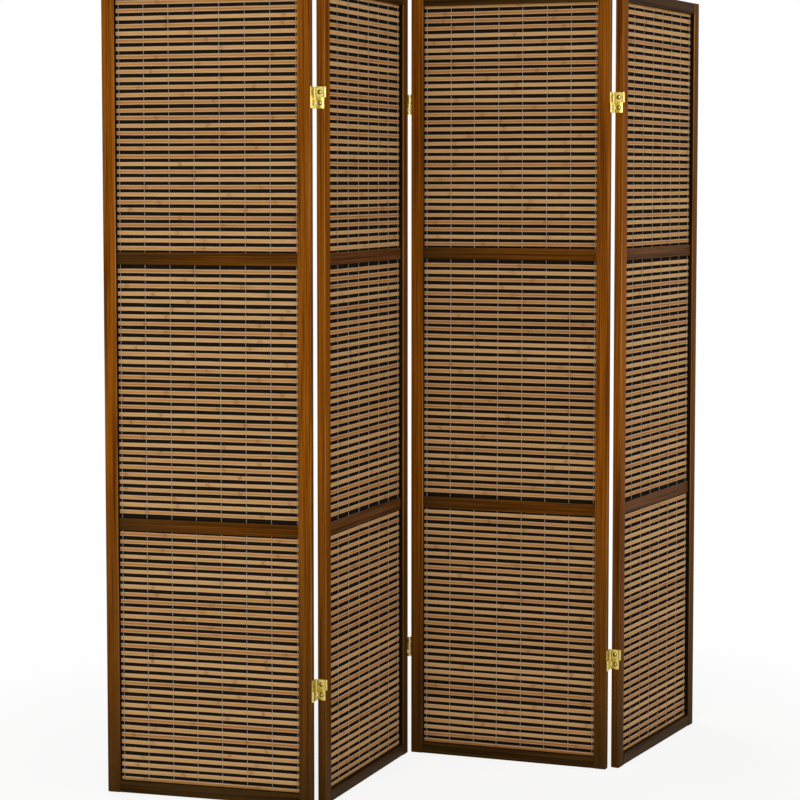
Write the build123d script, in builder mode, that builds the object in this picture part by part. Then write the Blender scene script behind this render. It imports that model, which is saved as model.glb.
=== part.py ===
from build123d import *
import os

# Folding screen: four panels in a row, joined by two-way hinges and stood in a zigzag.
# Millimetres, +Z up. The origin is on the floor under the middle of the screen,
# the row of panels runs along X and the front of the screen faces -Y.

# A panel. Its own frame has X from its left edge to its right edge,
# Y from its front face to its back face and Z up from the floor.
WIDTH = 475.0
HEIGHT = 1785.0
THICK = 20.0
STILE = 30.0
RAIL = 27.0
MID_RAIL_BASES = (586.0, 1172.0)
ARRIS = 2.0

# The rebate in the back of the frame, and the layers in it, from front to back
LIP = 8.0
MAT_FRONT = 11.0
SLAT_THICK = 1.6
THREAD_THICK = 0.5
CLOTH_THICK = 0.5
SLAT_BACK = MAT_FRONT + SLAT_THICK
CLOTH_FRONT = SLAT_BACK + THREAD_THICK
CLOTH_BACK = CLOTH_FRONT + CLOTH_THICK
MID_RAIL_THICK = 3.0
BEAD_JOINT = 0.2

# The mat of split bamboo
SLAT_HEIGHT = 9.0
SLAT_PITCH = 16.6
SLAT_COUNT = 105
THREAD_WIDTH = 0.9
THREAD_SPACING = 57.6
THREAD_COUNT = 8
MAT_CLEARANCE = 0.5

# Dowels in the corner joints
DOWEL_RADIUS = 3.0
DOWEL_LENGTH = 30.0
DOWEL_HEIGHTS = (5.5, 14.0)
DOWEL_DEPTH = 9.0

# The two-way hinges. Each has an upper half and a lower half, and each half has
# one barrel behind the panels and one in front of them, joined by a link.
GAP = 6.0
PIVOT_OUT = 2.0
FRONT_PIVOT = -PIVOT_OUT
BACK_PIVOT = THICK + PIVOT_OUT
HINGE_HEIGHTS = (254.0, 1531.0)
HALF_HEIGHT = 23.0
HALF_GAP = 0.2
KNUCKLE_GAP = 0.3
KNUCKLE = (HALF_HEIGHT - HALF_GAP - 2 * KNUCKLE_GAP) / 3
BARREL_RADIUS = 2.75
PIN_RADIUS = 1.1
PIN_CLEARANCE = 0.08
PLATE = 1.0
PLATE_INSET = 1.2
ACCESS_RADIUS = 5.0

# Countersunk wood screws, one in each half of a leaf
SCREW_RADIUS = 1.5
SCREW_HEAD_RADIUS = 2.8
SCREW_HEAD_DEPTH = 1.6
SCREW_LENGTH = 15.0
SCREW_TIP = 3.0
SLOT_WIDTH = 0.7
SLOT_DEPTH = 0.6

# How the screen stands: each panel's heading from left to right, in degrees from
# +X towards +Y, and the line that each fold turns about
HEADINGS = (-38.5, 44.3, -42.8, 37.9)
FOLD_PIVOTS = (BACK_PIVOT, FRONT_PIVOT, BACK_PIVOT)


def spot(heading, along, depth):
    """A place in a panel's frame, turned to the panel's heading."""
    return Vector(along, depth, 0).rotate(Axis.Z, heading)


def panel_corners():
    """The front left foot of each panel, with the first one at zero."""
    corners = [Vector(0, 0, 0)]
    for left, right, depth in zip(HEADINGS, HEADINGS[1:], FOLD_PIVOTS):
        pivot = corners[-1] + spot(left, WIDTH + GAP / 2, depth)
        corners.append(pivot - spot(right, -GAP / 2, depth))
    return corners


def middle_of_screen(corners):
    """The middle of the ground that rounded stile corners and hinge barrels cover."""
    discs = []
    for number, (corner, heading) in enumerate(zip(corners, HEADINGS)):
        for along in (ARRIS, WIDTH - ARRIS):
            for depth in (ARRIS, THICK - ARRIS):
                discs.append((corner + spot(heading, along, depth), ARRIS))
        if number < len(FOLD_PIVOTS):
            for depth in (FRONT_PIVOT, BACK_PIVOT):
                discs.append((corner + spot(heading, WIDTH + GAP / 2, depth), BARREL_RADIUS))
        if number > 0:
            for depth in (FRONT_PIVOT, BACK_PIVOT):
                discs.append((corner + spot(heading, -GAP / 2, depth), BARREL_RADIUS))
    low_x = min(place.X - radius for place, radius in discs)
    high_x = max(place.X + radius for place, radius in discs)
    low_y = min(place.Y - radius for place, radius in discs)
    high_y = max(place.Y + radius for place, radius in discs)
    return Vector((low_x + high_x) / 2, (low_y + high_y) / 2, 0)


def save(piece, name):
    piece.part.label = name
    export_step(piece.part, f"parts/{name}.step")


# A screw, with its head's face at zero and its point down, for the holes as well
with BuildPart() as wood_screw:
    with BuildSketch(Plane.XZ):
        with BuildLine():
            Polyline(
                (0, 0),
                (SCREW_HEAD_RADIUS, 0),
                (SCREW_RADIUS, -SCREW_HEAD_DEPTH),
                (SCREW_RADIUS, SCREW_TIP - SCREW_LENGTH),
                (0, -SCREW_LENGTH),
                close=True,
            )
        make_face()
    revolve(axis=Axis.Z)


def screw_places(edge, outward):
    """Where the screws of one edge's leaves go, with each head's face outward."""
    places = []
    for height in HINGE_HEIGHTS:
        for half in (-1, 1):
            centre = height + half * (HALF_GAP + HALF_HEIGHT) / 2
            turn = (0, 90 * outward, 0)
            places.append(Location((edge + outward * PLATE, THICK / 2, centre), turn))
    return places


def make_stile(panel, name, edge, outward, hinged):
    """An upright, rebated behind, with dowel holes and the hinge screws' holes."""
    inner = edge - outward * STILE
    with BuildPart(panel) as stile:
        with Locations((edge - outward * STILE / 2, THICK / 2, 0)):
            Box(STILE, THICK, HEIGHT, align=(Align.CENTER, Align.CENTER, Align.MIN))
        fillet(stile.edges().filter_by(Axis.Z), ARRIS)
        rebate_end = RAIL - LIP
        with Locations((inner + outward * LIP / 2, (MAT_FRONT + THICK) / 2, HEIGHT / 2)):
            Box(LIP, THICK - MAT_FRONT, HEIGHT - 2 * rebate_end, mode=Mode.SUBTRACT)
        with Locations(dowel_places(inner)):
            Cylinder(DOWEL_RADIUS, DOWEL_LENGTH, mode=Mode.SUBTRACT)
        if hinged:
            with Locations(screw_places(edge, outward)):
                add(wood_screw.part, mode=Mode.SUBTRACT)
    save(stile, name)


def dowel_places(inner):
    """Where the dowels cross the joints at one stile's inner side."""
    heights = DOWEL_HEIGHTS + tuple(HEIGHT - height for height in DOWEL_HEIGHTS)
    return [Location((inner, DOWEL_DEPTH, height), (0, 90, 0)) for height in heights]


def make_rail(panel, name, base, inward):
    """A top or bottom rail between the stiles, rebated on its inward side."""
    middle = base + RAIL / 2
    with BuildPart(panel) as rail:
        with Locations((WIDTH / 2, THICK / 2, middle)):
            Box(WIDTH - 2 * STILE, THICK, RAIL)
        long_edges = rail.edges().filter_by(lambda edge: edge.length > WIDTH / 2)
        fillet(long_edges, ARRIS)
        rebate_height = middle + inward * (RAIL - LIP) / 2
        with Locations((WIDTH / 2, (MAT_FRONT + THICK) / 2, rebate_height)):
            Box(WIDTH - 2 * STILE, THICK - MAT_FRONT, LIP, mode=Mode.SUBTRACT)
        for inner in (STILE, WIDTH - STILE):
            with Locations(dowel_places(inner)):
                Cylinder(DOWEL_RADIUS, DOWEL_LENGTH, mode=Mode.SUBTRACT)
    save(rail, name)


def make_mid_rails(panel, name):
    """Two slim bars across the front of the mat."""
    back = MAT_FRONT - THREAD_THICK
    with BuildPart(panel) as mid_rails:
        for base in MID_RAIL_BASES:
            with Locations((WIDTH / 2, back - MID_RAIL_THICK / 2, base + RAIL / 2)):
                Box(WIDTH - 2 * STILE, MID_RAIL_THICK, RAIL)
        front_edges = mid_rails.edges().filter_by(lambda edge: edge.length > WIDTH / 2)
        fillet(front_edges.group_by(Axis(panel.origin, panel.y_dir))[0], MID_RAIL_THICK / 3)
    save(mid_rails, name)


def make_back_beads(panel, name):
    """Beads that hold the mat in its rebate, and bars behind the middle rails."""
    depth = THICK - CLOTH_BACK
    middle = CLOTH_BACK + depth / 2
    length = WIDTH - 2 * STILE - 2 * BEAD_JOINT
    with BuildPart(panel) as back_beads:
        for along in (STILE - LIP / 2, WIDTH - STILE + LIP / 2):
            with Locations((along, middle, HEIGHT / 2)):
                Box(LIP, depth, HEIGHT - 2 * (RAIL - LIP))
        for height in (RAIL - LIP / 2, HEIGHT - RAIL + LIP / 2):
            with Locations((WIDTH / 2, middle, height)):
                Box(length, depth, LIP)
        for base in MID_RAIL_BASES:
            with Locations((WIDTH / 2, middle, base + RAIL / 2)):
                Box(length, depth, RAIL)
    save(back_beads, name)


def make_slats(panel, name):
    """The bamboo slats, laid flat one above the other with gaps between them."""
    length = WIDTH - 2 * (STILE - LIP) - 2 * MAT_CLEARANCE
    with BuildPart(panel) as slats:
        with Locations((WIDTH / 2, MAT_FRONT + SLAT_THICK / 2, HEIGHT / 2)):
            with Locations(*slat_offsets()):
                Box(length, SLAT_THICK, SLAT_HEIGHT)
    save(slats, name)


def slat_offsets():
    """Heights of the slats above and below the middle of a panel."""
    first = -SLAT_PITCH * (SLAT_COUNT - 1) / 2
    return [Location((0, 0, first + SLAT_PITCH * row)) for row in range(SLAT_COUNT)]


def thread_places():
    """Distances of the warp threads from a panel's left edge."""
    first = (WIDTH - THREAD_SPACING * (THREAD_COUNT - 1)) / 2
    return [first + THREAD_SPACING * number for number in range(THREAD_COUNT)]


def make_threads(panel, name):
    """The warp threads, each a strand before the slats and a strand behind them."""
    mat_height = SLAT_PITCH * (SLAT_COUNT - 1) + SLAT_HEIGHT
    strands = (
        (MAT_FRONT - THREAD_THICK / 2, HEIGHT - 2 * RAIL),
        (SLAT_BACK + THREAD_THICK / 2, mat_height),
    )
    with BuildPart(panel) as threads:
        for depth, length in strands:
            with Locations([(along, depth, HEIGHT / 2) for along in thread_places()]):
                Box(THREAD_WIDTH, THREAD_THICK, length)
    save(threads, name)


def make_backing(panel, name):
    """The opaque cloth behind the mat."""
    width = WIDTH - 2 * (STILE - LIP) - 2 * MAT_CLEARANCE
    height = HEIGHT - 2 * (RAIL - LIP) - 2 * MAT_CLEARANCE
    with BuildPart(panel) as backing:
        with Locations((WIDTH / 2, CLOTH_FRONT + CLOTH_THICK / 2, HEIGHT / 2)):
            Box(width, CLOTH_THICK, height)
    save(backing, name)


def make_dowels(panel, name):
    with BuildPart(panel) as dowels:
        for inner in (STILE, WIDTH - STILE):
            with Locations(dowel_places(inner)):
                Cylinder(DOWEL_RADIUS, DOWEL_LENGTH)
    save(dowels, name)


def knuckle_middle(height, half, number):
    """The height of a half's knuckle, counted from the middle of the hinge."""
    inner_end = HALF_GAP / 2 + number * (KNUCKLE + KNUCKLE_GAP)
    return height + half * (inner_end + KNUCKLE / 2)


def half_middle(height, half):
    return height + half * (HALF_GAP + HALF_HEIGHT) / 2


def make_leaves(panel, name, edge, outward, pivots):
    """The leaves on one edge. Each half reaches out to its own barrel's two end knuckles."""
    pivot = edge + outward * GAP / 2
    plate_middle = edge + outward * PLATE / 2
    with BuildPart(panel) as leaves:
        for height in HINGE_HEIGHTS:
            with Locations((plate_middle, THICK / 2, height)):
                Box(PLATE, THICK - 2 * PLATE_INSET, 2 * HALF_HEIGHT)
            for half, depth in pivots:
                for number in (0, 2):
                    middle = knuckle_middle(height, half, number)
                    inset = PLATE_INSET if depth < 0 else THICK - PLATE_INSET
                    with Locations((plate_middle, (depth + inset) / 2, middle)):
                        Box(PLATE, abs(depth - inset), KNUCKLE)
                    with Locations((pivot, depth, middle)):
                        Cylinder(BARREL_RADIUS, KNUCKLE)
                with Locations((pivot, depth, half_middle(height, half))):
                    Cylinder(PIN_RADIUS, HALF_HEIGHT, mode=Mode.SUBTRACT)
        with Locations(screw_places(edge, outward)):
            add(wood_screw.part, mode=Mode.SUBTRACT)
    save(leaves, name)


def make_links(panel, name, edge, outward, half):
    """The links of one half. Each holds the middle knuckle of the front and back barrels."""
    pivot = edge + outward * GAP / 2
    with BuildPart(panel) as links:
        for height in HINGE_HEIGHTS:
            plate_height = half_middle(height, half)
            with Locations((pivot, THICK / 2, plate_height)):
                Box(PLATE, THICK - 2 * PLATE_INSET, HALF_HEIGHT - HALF_GAP)
            with Locations((pivot, THICK / 2, knuckle_middle(height, half, 1))):
                Box(PLATE, BACK_PIVOT - FRONT_PIVOT, KNUCKLE)
            with Locations(Location((pivot, THICK / 2, plate_height), (0, 90, 0))):
                Cylinder(ACCESS_RADIUS, GAP, mode=Mode.SUBTRACT)
            for depth in (FRONT_PIVOT, BACK_PIVOT):
                with Locations((pivot, depth, knuckle_middle(height, half, 1))):
                    Cylinder(BARREL_RADIUS, KNUCKLE)
                    Cylinder(PIN_RADIUS + PIN_CLEARANCE, KNUCKLE, mode=Mode.SUBTRACT)
    save(links, name)


def make_pins(panel, name, places):
    """The pins that are fast in one panel's leaves."""
    with BuildPart(panel) as pins:
        for pivot, half, depth in places:
            for height in HINGE_HEIGHTS:
                with Locations((pivot, depth, half_middle(height, half))):
                    Cylinder(PIN_RADIUS, HALF_HEIGHT - HALF_GAP)
    save(pins, name)


def make_screws(panel, name, edges):
    """The leaves' screws, each with a slot across its head."""
    with BuildPart(panel) as screws:
        for edge, outward in edges:
            with Locations(screw_places(edge, outward)):
                add(wood_screw.part)
                with Locations((0, 0, -SLOT_DEPTH / 2)):
                    Box(SLOT_WIDTH, 2 * SCREW_HEAD_RADIUS, SLOT_DEPTH, mode=Mode.SUBTRACT)
    save(screws, name)


LEFT_EDGE = (0.0, -1)
RIGHT_EDGE = (WIDTH, 1)
UPPER, LOWER = 1, -1

# The left leaf of a fold holds the upper back and lower front barrels' pins, and the
# right leaf holds the other two.
LEFT_LEAF_PIVOTS = ((UPPER, BACK_PIVOT), (LOWER, FRONT_PIVOT))
RIGHT_LEAF_PIVOTS = ((UPPER, FRONT_PIVOT), (LOWER, BACK_PIVOT))

os.makedirs("parts", exist_ok=True)

corners = panel_corners()
middle = middle_of_screen(corners)
panels = [
    Plane(origin=corner - middle, x_dir=spot(heading, 1, 0), z_dir=(0, 0, 1))
    for corner, heading in zip(corners, HEADINGS)
]

for number, panel in enumerate(panels, start=1):
    first = number == 1
    last = number == len(panels)
    prefix = f"panel_{number}"
    make_stile(panel, f"{prefix}_left_stile", *LEFT_EDGE, hinged=not first)
    make_stile(panel, f"{prefix}_right_stile", *RIGHT_EDGE, hinged=not last)
    make_rail(panel, f"{prefix}_top_rail", HEIGHT - RAIL, inward=-1)
    make_rail(panel, f"{prefix}_bottom_rail", 0, inward=1)
    make_mid_rails(panel, f"{prefix}_middle_rails")
    make_back_beads(panel, f"{prefix}_back_beads")
    make_slats(panel, f"{prefix}_bamboo_slats")
    make_threads(panel, f"{prefix}_warp_threads")
    make_backing(panel, f"{prefix}_backing_cloth")
    make_dowels(panel, f"{prefix}_dowels")
    edges = []
    pins = []
    if not first:
        edges.append(LEFT_EDGE)
        pins += [(-GAP / 2, half, depth) for half, depth in RIGHT_LEAF_PIVOTS]
        make_leaves(
            panel, f"hinge_{number - 1}_{number}_right_leaves", *LEFT_EDGE, RIGHT_LEAF_PIVOTS
        )
    if not last:
        edges.append(RIGHT_EDGE)
        pins += [(WIDTH + GAP / 2, half, depth) for half, depth in LEFT_LEAF_PIVOTS]
        make_leaves(
            panel, f"hinge_{number}_{number + 1}_left_leaves", *RIGHT_EDGE, LEFT_LEAF_PIVOTS
        )
    make_pins(panel, f"{prefix}_hinge_pins", pins)
    make_screws(panel, f"{prefix}_hinge_screws", edges)

# The links of each fold lie with one of its panels: where it turns about its back
# barrels the upper links stay with the right panel and the lower ones with the left,
# and the other way round where it turns about its front barrels.
for fold, depth in enumerate(FOLD_PIVOTS):
    left_panel, right_panel = panels[fold], panels[fold + 1]
    upper_panel, upper_edge = (right_panel, LEFT_EDGE) if depth > 0 else (left_panel, RIGHT_EDGE)
    lower_panel, lower_edge = (left_panel, RIGHT_EDGE) if depth > 0 else (right_panel, LEFT_EDGE)
    prefix = f"hinge_{fold + 1}_{fold + 2}"
    make_links(upper_panel, f"{prefix}_upper_links", *upper_edge, UPPER)
    make_links(lower_panel, f"{prefix}_lower_links", *lower_edge, LOWER)
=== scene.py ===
"""A folding screen of four bamboo panels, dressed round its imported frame."""

import math
import random

import bmesh
import bpy
from mathutils import Matrix, Vector


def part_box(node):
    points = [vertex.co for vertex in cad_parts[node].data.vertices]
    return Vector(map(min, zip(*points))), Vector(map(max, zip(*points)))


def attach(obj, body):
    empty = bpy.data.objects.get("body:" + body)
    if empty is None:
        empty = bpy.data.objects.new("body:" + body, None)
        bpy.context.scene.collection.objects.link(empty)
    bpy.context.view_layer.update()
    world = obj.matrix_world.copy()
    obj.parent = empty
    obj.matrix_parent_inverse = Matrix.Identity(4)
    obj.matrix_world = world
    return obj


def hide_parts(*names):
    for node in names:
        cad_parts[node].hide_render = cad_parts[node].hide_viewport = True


bl_info = {
    "name": "Bamboo folding screen",
    "version": (1, 0, 0),
    "blender": (4, 5, 0),
    "location": "3D View > Sidebar > Screen",
    "description": "Builds the timber, bamboo mats, backing cloth and brass hinges of a folding screen",
    "category": "Add Mesh",
}

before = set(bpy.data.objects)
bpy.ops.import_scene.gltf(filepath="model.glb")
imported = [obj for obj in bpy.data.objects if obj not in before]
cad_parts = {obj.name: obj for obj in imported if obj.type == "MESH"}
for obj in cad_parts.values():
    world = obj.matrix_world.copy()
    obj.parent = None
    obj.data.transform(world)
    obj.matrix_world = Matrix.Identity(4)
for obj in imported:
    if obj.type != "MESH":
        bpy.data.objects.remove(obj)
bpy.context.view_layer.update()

MM = 0.001
PANELS = (1, 2, 3, 4)

# A panel's own frame has X from its left edge, Y from its front face to its back and Z up.
STILE = 30 * MM
THICK = 20 * MM
RAIL = 27 * MM
LIP = 8 * MM
MID_RAIL_BASES = (586 * MM, 1172 * MM)
MID_RAIL_THICK = 3 * MM
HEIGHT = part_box("panel_1_left_stile")[1].z
SMALL_ARRIS = 0.9 * MM
SAWN_EDGE = 0.1 * MM

# The layers in the frame's rebate, from front to back
MAT_FRONT = 11 * MM
SLAT_THICK = 1.6 * MM
THREAD_THICK = 0.5 * MM
CLOTH_FRONT = MAT_FRONT + SLAT_THICK + THREAD_THICK
CLOTH_BACK = CLOTH_FRONT + 0.5 * MM

# The bamboo mat
SLAT_HEIGHT = 9 * MM
SLAT_PITCH = 16.6 * MM
SLAT_COUNT = 105
THREAD_SPACING = 57.6 * MM
THREAD_COUNT = 8
MAT_CLEARANCE = 0.5 * MM
FIRST_SLAT = HEIGHT / 2 - SLAT_PITCH * (SLAT_COUNT - 1) / 2

# The two-way hinges, measured outward from the edge that carries them
GAP = 6 * MM
FRONT_PIVOT = -2 * MM
BACK_PIVOT = THICK + 2 * MM
HINGE_HEIGHTS = (254 * MM, 1531 * MM)
HALF_HEIGHT = 23 * MM
HALF_GAP = 0.2 * MM
KNUCKLE_GAP = 0.3 * MM
KNUCKLE = (HALF_HEIGHT - HALF_GAP - 2 * KNUCKLE_GAP) / 3
BARREL_RADIUS = 2.75 * MM
PIN_RADIUS = 1.1 * MM
BORE_RADIUS = 1.18 * MM
PLATE = 1 * MM
PLATE_INSET = 1.2 * MM
ACCESS_RADIUS = 5 * MM
SCREW_RADIUS = 1.5 * MM
SCREW_HEAD_RADIUS = 2.8 * MM
UPPER, LOWER = 1, -1
LEFT_LEAF_PIVOTS = ((UPPER, BACK_PIVOT), (LOWER, FRONT_PIVOT))
RIGHT_LEAF_PIVOTS = ((UPPER, FRONT_PIVOT), (LOWER, BACK_PIVOT))
FOLDS = ((1, 2, BACK_PIVOT), (2, 3, FRONT_PIVOT), (3, 4, BACK_PIVOT))


def linear(code):
    """An sRGB hex colour as linear red, green and blue."""
    parts = [int(code[start : start + 2], 16) / 255 for start in (1, 3, 5)]
    return tuple(p / 12.92 if p <= 0.04045 else ((p + 0.055) / 1.055) ** 2.4 for p in parts)


# Panel frames

def middle_of(node):
    low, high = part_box(node)
    return (low + high) / 2


def panel_width():
    apart = middle_of("panel_1_right_stile") - middle_of("panel_1_left_stile")
    return apart.length + STILE


WIDTH = panel_width()
MAT_WIDTH = WIDTH - 2 * (STILE - LIP + MAT_CLEARANCE)
MAT_LEFT = (WIDTH - MAT_WIDTH) / 2


def panel_matrix(number):
    """A panel's own frame, found from its two stiles."""
    left = middle_of(f"panel_{number}_left_stile")
    along = (middle_of(f"panel_{number}_right_stile") - left).normalized()
    through = Vector((-along.y, along.x, 0))
    corner = left - along * STILE / 2 - through * THICK / 2
    corner.z = 0
    turn = Matrix((along, through, Vector((0, 0, 1)))).transposed().to_4x4()
    return Matrix.Translation(corner) @ turn


# Meshes

class Shell:
    """Points and faces gathered for one piece, with named values on its points."""

    def __init__(self):
        self.points = []
        self.faces = []
        self.values = {}

    def skin(self, rings, capped=True, **values):
        """Faces between rings of points of one count. Values hold a number for each point."""
        start = len(self.points)
        count = len(rings[0])
        for ring in rings:
            self.points.extend(ring)
        for row in range(len(rings) - 1):
            low = start + row * count
            for place in range(count):
                after = (place + 1) % count
                self.faces.append((low + place, low + after, low + count + after, low + count + place))
        if capped:
            last = start + (len(rings) - 1) * count
            self.faces.append(tuple(range(start + count - 1, start - 1, -1)))
            self.faces.append(tuple(range(last, last + count)))
        for name, numbers in values.items():
            self.values.setdefault(name, []).extend(numbers)

    def add(self, other, matrix):
        """Another shell's points and faces, moved by a matrix."""
        start = len(self.points)
        self.points.extend(matrix @ Vector(point) for point in other.points)
        self.faces.extend(tuple(start + corner for corner in face) for face in other.faces)


def finished_mesh(name, shell, sharp):
    """A mesh with outward faces, smooth but for edges over the sharp angle."""
    mesh = bpy.data.meshes.new(name)
    mesh.from_pydata(shell.points, [], shell.faces)
    for key, numbers in shell.values.items():
        layer = mesh.attributes.new(key, "FLOAT", "POINT")
        layer.data.foreach_set("value", numbers)
    weld = 0.001 * MM
    work = bmesh.new()
    work.from_mesh(mesh)
    bmesh.ops.remove_doubles(work, verts=work.verts, dist=weld)
    bmesh.ops.dissolve_degenerate(work, edges=work.edges, dist=weld)
    bmesh.ops.recalc_face_normals(work, faces=work.faces)
    work.to_mesh(mesh)
    work.free()
    mesh.shade_smooth()
    mesh.set_sharp_from_angle(angle=math.radians(sharp))
    return mesh


def add_piece(name, number, shell, material, nodes, sharp=35):
    """One piece in a panel's frame, riding on that panel in place of its CAD nodes."""
    piece = bpy.data.objects.new(name, finished_mesh(name, shell, sharp))
    piece.data.materials.append(material)
    bpy.context.scene.collection.objects.link(piece)
    piece.matrix_world = panel_matrix(number)
    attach(piece, f"panel_{number}")
    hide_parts(*nodes)
    return piece


def arc(centre, radius, start, end, steps):
    """Points of an arc in a plane, from one angle to another, in degrees."""
    points = []
    for step in range(steps + 1):
        angle = math.radians(start + (end - start) * step / steps)
        points.append((centre[0] + radius * math.cos(angle), centre[1] + radius * math.sin(angle)))
    return points


def bar_outline(low, high, radius, notch=None, steps=4):
    """A rectangle with rounded corners. A notch is a corner's number, from the lowest
    corner round by way of the first axis, and the size of the step cut there."""
    corners = ((low[0], low[1], 180), (high[0], low[1], 270), (high[0], high[1], 0), (low[0], high[1], 90))
    points = []
    for place, (across, up, start) in enumerate(corners):
        side = 1 if across == low[0] else -1
        rise = 1 if up == low[1] else -1
        if notch and notch[0] == place:
            wide, tall = side * notch[1], rise * notch[2]
            step = [(across, up + tall), (across + wide, up + tall), (across + wide, up)]
            if place in (1, 3):
                step = [(across + wide, up), (across + wide, up + tall), (across, up + tall)]
            middles = [((a[0] + b[0]) / 2, (a[1] + b[1]) / 2) for a, b in zip(step, step[1:])]
            points += [step[0], middles[0], step[1], middles[1], step[2]]
        else:
            points += arc((across + side * radius, up + rise * radius), radius, start, start + 90, steps)
    return points


def ringed(outline, axis, place, inset=0.0):
    """An outline set across an axis at a place on it, drawn in by an inset."""
    across = sum(point[0] for point in outline) / len(outline)
    up = sum(point[1] for point in outline) / len(outline)
    ring = []
    for first, second in outline:
        first -= math.copysign(min(inset, abs(first - across)), first - across)
        second -= math.copysign(min(inset, abs(second - up)), second - up)
        ring.append((place, first, second) if axis == "X" else (first, second, place))
    return ring


def straight_bar(shell, outline, axis, start, end, eased):
    """A bar of one section with its end edges eased."""
    shell.skin([
        ringed(outline, axis, start, eased),
        ringed(outline, axis, start + eased),
        ringed(outline, axis, end - eased),
        ringed(outline, axis, end, eased),
    ])


def turned(shell, profile, centre, sides):
    """A profile of radius and height turned about an upright axis, closed on itself."""
    rings = []
    for step in range(sides):
        angle = 2 * math.pi * step / sides
        rings.append([
            (centre[0] + radius * math.cos(angle), centre[1] + radius * math.sin(angle), centre[2] + height)
            for radius, height in profile
        ])
    shell.skin(rings + [rings[0]], capped=False)


def add_box(shell, first, second, eased=0.15 * MM):
    """A box between two corners in any order, its upright edges rounded and its ends eased."""
    low = [min(pair) for pair in zip(first, second)]
    high = [max(pair) for pair in zip(first, second)]
    straight_bar(shell, bar_outline(low[:2], high[:2], eased, steps=2), "Z", low[2], high[2], eased)


# Materials

# A wave texture of scale one repeats at this distance
WAVE_LENGTH = math.pi / 10


def node(tree, kind, links=(), stops=(), **settings):
    """A node with its settings. Links give its inputs a value, an output, or a node, which
    stands for its first output in use. Stops are a colour ramp's places and colours."""
    made = tree.nodes.new("ShaderNode" + kind)
    for key, value in settings.items():
        setattr(made, key, value)
    elements = made.color_ramp.elements if stops else ()
    while len(elements) < len(stops):
        elements.new(0.5)
    for element, (place, colour) in zip(elements, stops):
        element.position = place
        element.color = (*colour, 1)
    for socket, source in dict(links).items():
        if isinstance(source, bpy.types.Node):
            source = next(output for output in source.outputs if output.enabled)
        if isinstance(source, bpy.types.NodeSocket):
            tree.links.new(source, made.inputs[socket])
        else:
            made.inputs[socket].default_value = source
    return made


def new_material(name):
    material = bpy.data.materials.new(name)
    material.use_nodes = True
    material.node_tree.nodes.clear()
    return material, material.node_tree


def shaded(colour, red, green, blue):
    """A colour whose parts are made darker or lighter by these shares."""
    return colour[0] * red, colour[1] * green, colour[2] * blue


def grain_noise(tree, place, across, along, axis, detail):
    """Noise drawn out along one axis, its grains so wide and so long in metres."""
    scale = [1 / across, 1 / across, 1 / across]
    scale["XYZ".index(axis)] = 1 / along
    stretched = node(tree, "Mapping", {"Vector": place, "Scale": scale})
    return node(tree, "TexNoise", {
        "Vector": stretched, "Scale": 1.0, "Detail": detail, "Roughness": 0.6,
    })


def strip_noise(tree, place, along, across, apart, detail, roughness=0.5):
    """Noise on split strips, its marks so long and so tall in metres. The larger apart is,
    the less one slat's marks are like the next one's."""
    scale = (1 / along, SLAT_HEIGHT / 2 / across, apart)
    stretched = node(tree, "Mapping", {"Vector": place, "Scale": scale})
    return node(tree, "TexNoise", {
        "Vector": stretched, "Scale": 1.0, "Detail": detail, "Roughness": roughness,
    })


def stained_walnut(name, axis, stain, foot_shade, shade_from, shade_to):
    """Walnut-stained softwood, planed and sprayed with semi-gloss lacquer. The stain sinks
    into the early wood, so fine dark lines run along the grain. A lighter copy of it on the
    stiles' rounded arrises is a painted highlight. Along its axis the wood fades in from a dark
    foot colour, a painted shade: darker towards the floor, and on some middle rails towards the left."""
    material, tree = new_material(name)
    places = node(tree, "TexCoord").outputs["Object"]
    own = node(tree, "ObjectInfo").outputs["Random"]
    shifted = node(tree, "VectorMath", {0: places, 1: own}, operation="ADD")
    figure = grain_noise(tree, shifted, 14 * MM, 420 * MM, axis, 3)
    streaks = grain_noise(tree, shifted, 2.8 * MM, 380 * MM, axis, 4)
    pores = grain_noise(tree, shifted, 0.6 * MM, 14 * MM, axis, 2)
    mixed = node(tree, "Mix", {"Factor": 0.65, "A": figure, "B": streaks})
    early = shaded(stain, 0.48, 0.42, 0.35)
    late = shaded(stain, 1.38, 1.5, 2.2)
    colour = node(tree, "ValToRGB", {"Fac": mixed}, stops=((0.41, early), (0.5, stain), (0.58, late)))
    pore_marks = node(tree, "MapRange", {
        "Value": pores, "From Min": 0.3, "From Max": 0.42, "To Min": 0.55,
    })
    pored = node(tree, "Mix", {
        "Factor": 1.0, "A": colour, "B": pore_marks,
    }, data_type="RGBA", blend_type="MULTIPLY")
    # Painted shade: before its span along the axis the wood turns to the dark foot colour, with a wandering
    # edge.
    wander = grain_noise(tree, shifted, 60 * MM, 60 * MM, axis, 2)
    pushed = node(tree, "Math", {
        0: wander, 1: 0.12 * (shade_to - shade_from),
        2: node(tree, "SeparateXYZ", {"Vector": places}).outputs[axis],
    }, operation="MULTIPLY_ADD")
    out_of_shade = node(tree, "MapRange", {"Value": pushed, "From Min": shade_from, "From Max": shade_to})
    foot_shaded = node(tree, "Mix", {"Factor": 0.1, "A": (*foot_shade, 1), "B": pored}, data_type="RGBA")
    base = node(tree, "Mix", {"Factor": out_of_shade, "A": foot_shaded, "B": pored}, data_type="RGBA")
    rough = node(tree, "MapRange", {
        "Value": streaks, "From Min": 0.3, "From Max": 0.7, "To Min": 0.36, "To Max": 0.5,
    })
    bump = node(tree, "Bump", {"Height": pores, "Strength": 0.25, "Distance": 0.15 * MM})
    shader = node(tree, "BsdfPrincipled", {
        "Base Color": base, "Roughness": rough, "Normal": bump, "IOR": 1.07,
    })
    node(tree, "OutputMaterial", {"Surface": shader})
    return material


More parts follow.
